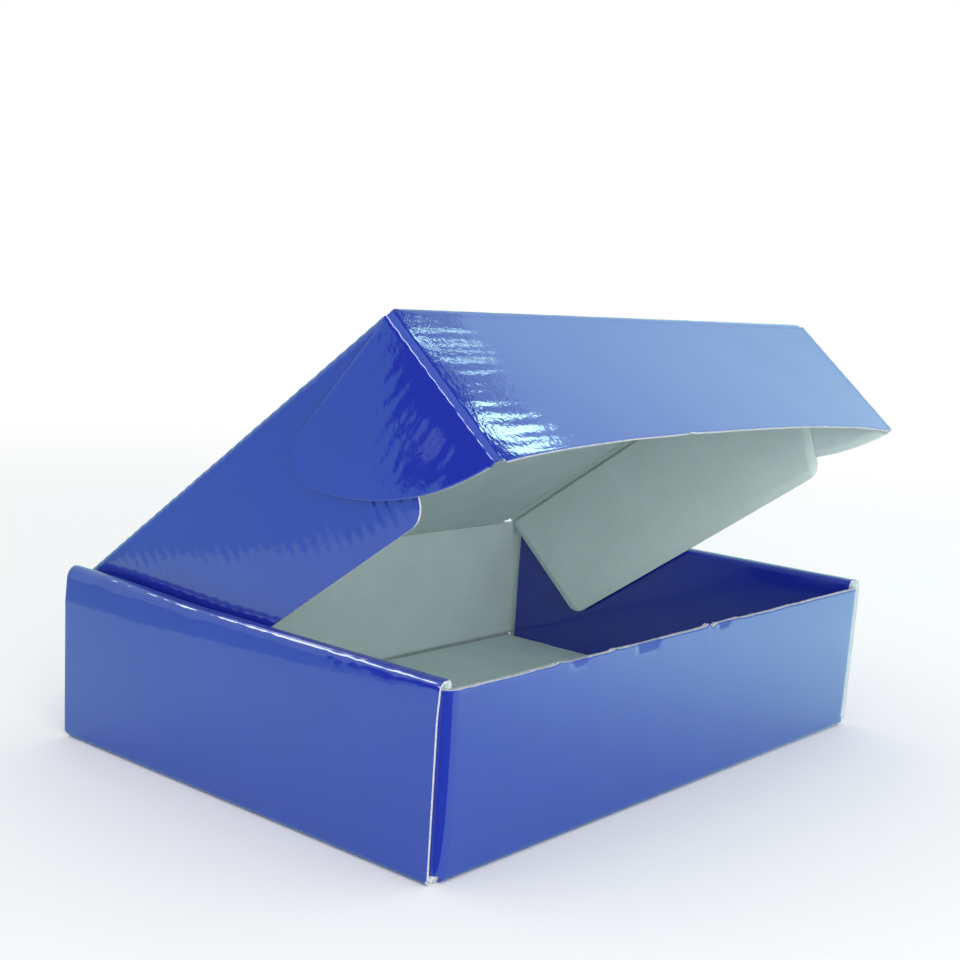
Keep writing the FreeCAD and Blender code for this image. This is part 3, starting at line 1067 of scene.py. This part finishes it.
# The gloss shows it this dark on the camera's side, to the left of and before this corner
DARK_CORNER, DARK_SHARE = (-0.172, -0.121), 0.12
# The gloss shows a pool of painted light on the paper too: its middle, how far it reaches and where it
# is full
POOL_MIDDLE, POOL_EDGE, POOL_FULL = (0.5, -0.36, 0.0), 0.62, 0.12
# The floor fades to white between these distances
FADE_START, FADE_END = 0.5, 1.5
# A dark card's tone, and the tint of the lamps that glint on the tuck flap
FLAG_TONE, GLINT_TINT = "#1B2340", "#CCFFF2"


def camera_at_photo():
    """The camera that took the photograph, matched to the tray's corners."""
    yaw, pitch, roll = (math.radians(a) for a in (CAMERA_YAW, CAMERA_PITCH, CAMERA_ROLL))
    forward = Vector((math.sin(yaw) * math.cos(pitch), math.cos(yaw) * math.cos(pitch), math.sin(pitch)))
    right = Vector((math.cos(yaw), -math.sin(yaw), 0))
    up = right.cross(forward)
    turned_right = right * math.cos(roll) + up * math.sin(roll)
    turned_up = up * math.cos(roll) - right * math.sin(roll)
    data = bpy.data.cameras.new("photo_camera")
    data.sensor_width = SENSOR_MM
    data.lens = SENSOR_MM * FOCAL_PX / PHOTO_PX
    data.shift_x = (PHOTO_PX / 2 - CENTRE_PX[0]) / PHOTO_PX
    data.shift_y = (CENTRE_PX[1] - PHOTO_PX / 2) / PHOTO_PX
    camera = bpy.data.objects.new("photo_camera", data)
    bpy.context.scene.collection.objects.link(camera)
    turn = Matrix((turned_right, turned_up, -forward)).transposed()
    camera.matrix_world = Matrix.Translation(Vector(CAMERA_PLACE) * MM) @ turn.to_4x4()
    bpy.context.scene.camera = camera


def softbox(name, place, aim, size, radiance, tint="#FFFFFF"):
    """A rectangular lamp of a given radiance, turned to a point."""
    place, aim = Vector(place), Vector(aim)
    data = bpy.data.lights.new(name, "AREA")
    data.shape = "RECTANGLE"
    data.size, data.size_y = size
    data.energy = radiance * math.pi * size[0] * size[1]
    data.color = colour(tint)
    lamp = bpy.data.objects.new(name, data)
    bpy.context.scene.collection.objects.link(lamp)
    turn = (aim - place).to_track_quat("-Z", "Y").to_matrix()
    lamp.matrix_world = Matrix.Translation(place) @ turn.to_4x4()
    return lamp


def floor_material(studio):
    """Matt pale paper that fades to white far from the box, and to a cooler tone in its gloss."""
    material, tree = new_material("pale_studio_paper")
    ray = add_node(tree, "LightPath").outputs
    place = add_node(tree, "TexCoord").outputs["Object"]
    # In the gloss the paper ends behind the box on the left, and is dark on the camera's side
    split = add_node(tree, "SeparateXYZ", {"Vector": place}).outputs
    slant = add_node(tree, "Math", {0: split["X"], 1: PAPER_SLANT, 2: split["Y"]},
                     operation="MULTIPLY_ADD")
    beyond = add_node(tree, "MapRange", {
        "Value": slant, "From Min": PAPER_END[0], "From Max": PAPER_END[1]})
    near_tone = studio.mirrored_colour
    far_tone = [c * share for c, share in zip(near_tone, COOLER)]
    paper = add_node(tree, "Mix", {
        "Factor": beyond, COLOUR_A: rgba(near_tone), COLOUR_B: rgba(far_tone)}, data_type="RGBA")
    left, front = (
        add_node(tree, "Math", {0: split[axis], 1: limit}, operation="LESS_THAN")
        for axis, limit in zip("XY", DARK_CORNER))
    camera_side = add_node(tree, "Math", {0: left, 1: front}, operation="MULTIPLY")
    mirrored = add_node(tree, "Mix", {
        "Factor": camera_side, COLOUR_A: paper, COLOUR_B: rgba(near_tone, DARK_SHARE)},
        data_type="RGBA")
    tone = add_node(tree, "Mix", {
        "Factor": ray["Is Glossy Ray"], COLOUR_A: rgba(studio.floor_colour), COLOUR_B: mirrored},
        data_type="RGBA")
    # Painted light: the paper glows in a pool on its right, seen only in the box's gloss
    from_pool = add_node(tree, "VectorMath", {0: place, 1: POOL_MIDDLE}, operation="DISTANCE")
    pool = add_node(tree, "MapRange", {
        "Value": from_pool, "From Min": POOL_EDGE, "From Max": POOL_FULL, "To Max": studio.pool},
        interpolation_type="SMOOTHSTEP")
    pooled = add_node(tree, "Math", {0: pool, 1: ray["Is Glossy Ray"]}, operation="MULTIPLY")
    shader = add_node(tree, "BsdfPrincipled", {
        "Base Color": tone, "Roughness": 0.9, "Specular IOR Level": 0.1,
        "Emission Color": rgba(near_tone), "Emission Strength": pooled})
    distance = add_node(tree, "VectorMath", {0: place}, operation="LENGTH")
    far = add_node(tree, "MapRange", {
        "Value": distance, "From Min": FADE_START, "From Max": FADE_END},
        interpolation_type="SMOOTHSTEP")
    seen_far = add_node(tree, "Math", {0: far, 1: ray["Is Camera Ray"]}, operation="MULTIPLY")
    white = add_node(tree, "Emission", {"Color": (1, 1, 1, 1), "Strength": 1.0})
    mix = add_node(tree, "MixShader", {0: seen_far, 1: shader, 2: white})
    add_node(tree, "OutputMaterial", {"Surface": mix})
    return material


def studio_world(studio):
    """An even light from all round, white to the camera and tinted in the box's gloss."""
    world = bpy.data.worlds.new("studio")
    world.use_nodes = True
    tree = world.node_tree
    tree.nodes.clear()
    ray = add_node(tree, "LightPath").outputs
    seen = add_node(tree, "Math", {0: ray["Is Camera Ray"], 1: ray["Is Glossy Ray"]},
                    operation="MAXIMUM")
    level = add_node(tree, "MapRange", {"Value": seen, "To Min": studio.fill})
    tone = add_node(tree, "Mix", {
        "Factor": ray["Is Glossy Ray"], COLOUR_A: (1, 1, 1, 1),
        COLOUR_B: rgba(studio.mirrored_colour)}, data_type="RGBA")
    light = add_node(tree, "Background", {"Color": tone, "Strength": level})
    add_node(tree, "OutputWorld", {"Surface": light})
    return world


def card_in_gloss(name, tone, *places):
    """A card that shows only in the box's gloss, its corners in rows from the lower left."""
    card = primitive(bpy.ops.mesh.primitive_plane_add, name, size=1, location=(0, 0, 0))
    for vertex, place in zip(card.data.vertices, places):
        vertex.co = place
    material, tree = new_material(name)
    shader = add_node(tree, "BsdfPrincipled", {
        "Base Color": rgba(colour(tone)), "Roughness": 0.9, "Specular IOR Level": 0.0})
    add_node(tree, "OutputMaterial", {"Surface": shader})
    card.data.materials.append(material)
    card.visible_camera = card.visible_diffuse = card.visible_shadow = False


class MAILER_OT_studio(bpy.types.Operator):
    """Lay the floor and set the lamps and the camera"""
    bl_idname = "mailer.studio"
    bl_label = "Set studio"

    def execute(self, context):
        studio = settings("studio")
        floor = primitive(bpy.ops.mesh.primitive_plane_add, "studio_floor", size=12, location=(0, 0, 0))
        floor.data.materials.append(floor_material(studio))
        context.scene.world = studio_world(studio)
        # The tuck flap mirrors the window over most of its width. Two slim lamps stand above the
        # window's top edge and glint at the flap's left end, under a dark flag
        softbox("window", (1.225, -0.05, 0.884), (0, -0.05, 0.485), (1.07, 0.808), studio.window,
                "#BCE4FF")
        softbox("upper_lamp", (1.1, 0.03, 1.335), (-0.14, 0.03, 0.18), (0.012, 0.11), studio.strip,
                GLINT_TINT)
        softbox("lower_lamp", (1.1, -0.16, 1.315), (-0.14, -0.16, 0.18), (0.06, 0.1), studio.strip,
                GLINT_TINT)
        card_in_gloss("flag_over_lamps", FLAG_TONE,
                      (1.1, -0.9, 1.375), (1.1, 0.9, 1.375), (0.9, -0.9, 2.4), (0.9, 0.9, 2.4))
        # The ear mirrors this flag next to its crease, with a paler spot in it
        card_in_gloss("flag_left", FLAG_TONE, (-0.74, 0.47, 0.035), (-0.95, 0.05, 0.035),
                      (-0.74, 0.47, 0.45), (-0.95, 0.05, 0.45))
        card_in_gloss("pale_spot", "#A9C4C2", (-0.705, 0.42, 0.066), (-0.717, 0.398, 0.068),
                      (-0.709, 0.412, 0.098), (-0.724, 0.384, 0.09))
        # Slim lamps on the left and behind draw the bright lines along the creases
        for name, place, aim, size in (
                ("left_lamp", (-1.25, 0.3, 0.72), (-0.16, -0.1, 0.18), (0.45, 0.2)),
                ("back_lamp", (-0.62, 1.18, 1.32), (-0.17, -0.04, 0.08), (0.8, 0.24))):
            softbox(name, place, aim, size, studio.rims, "#F0F4FF").visible_diffuse = False
        # This one lights the box's inside and doesn't show in the gloss
        fill = softbox("front_fill", (-1.0, -1.3, 0.6), (0, 0, 0.12), (1.4, 1.0), studio.front)
        fill.visible_glossy = False
        camera_at_photo()
        context.scene.view_settings.view_transform = "Standard"
        return {"FINISHED"}


OPERATORS = (MAILER_OT_tray, MAILER_OT_lid, MAILER_OT_tuck, MAILER_OT_dust_flaps, MAILER_OT_ears,
             MAILER_OT_creases, MAILER_OT_studio)
GROUPS = {"mailer_board": BoardSettings, "mailer_tray": TraySettings, "mailer_flaps": FlapSettings,
          "mailer_finish": FinishSettings, "mailer_studio": StudioSettings}


class MAILER_PT_box(bpy.types.Panel):
    """Steps that make the box, in order"""
    bl_label = "Mailer Box"
    bl_idname = "MAILER_PT_box"
    bl_space_type = "VIEW_3D"
    bl_region_type = "UI"
    bl_category = "Mailer Box"

    def draw(self, context):
        for group_name in GROUPS:
            group = getattr(context.scene, group_name)
            box = self.layout.box()
            for name in group.bl_rna.properties.keys():
                if name not in ("rna_type", "name"):
                    box.prop(group, name)
        for operator in OPERATORS:
            self.layout.operator(operator.bl_idname)


def register():
    for name, group in GROUPS.items():
        bpy.utils.register_class(group)
        setattr(bpy.types.Scene, name, PointerProperty(type=group))
    for kind in (*OPERATORS, MAILER_PT_box):
        bpy.utils.register_class(kind)


def unregister():
    for kind in (MAILER_PT_box, *reversed(OPERATORS)):
        bpy.utils.unregister_class(kind)
    for name, group in GROUPS.items():
        delattr(bpy.types.Scene, name)
        bpy.utils.unregister_class(group)


def main():
    register()
    bpy.ops.mailer.tray()
    bpy.ops.mailer.lid()
    bpy.ops.mailer.tuck()
    bpy.ops.mailer.dust_flaps()
    bpy.ops.mailer.ears()
    bpy.ops.mailer.creases()
    bpy.ops.mailer.studio()


if __name__ == "__main__":
    main()
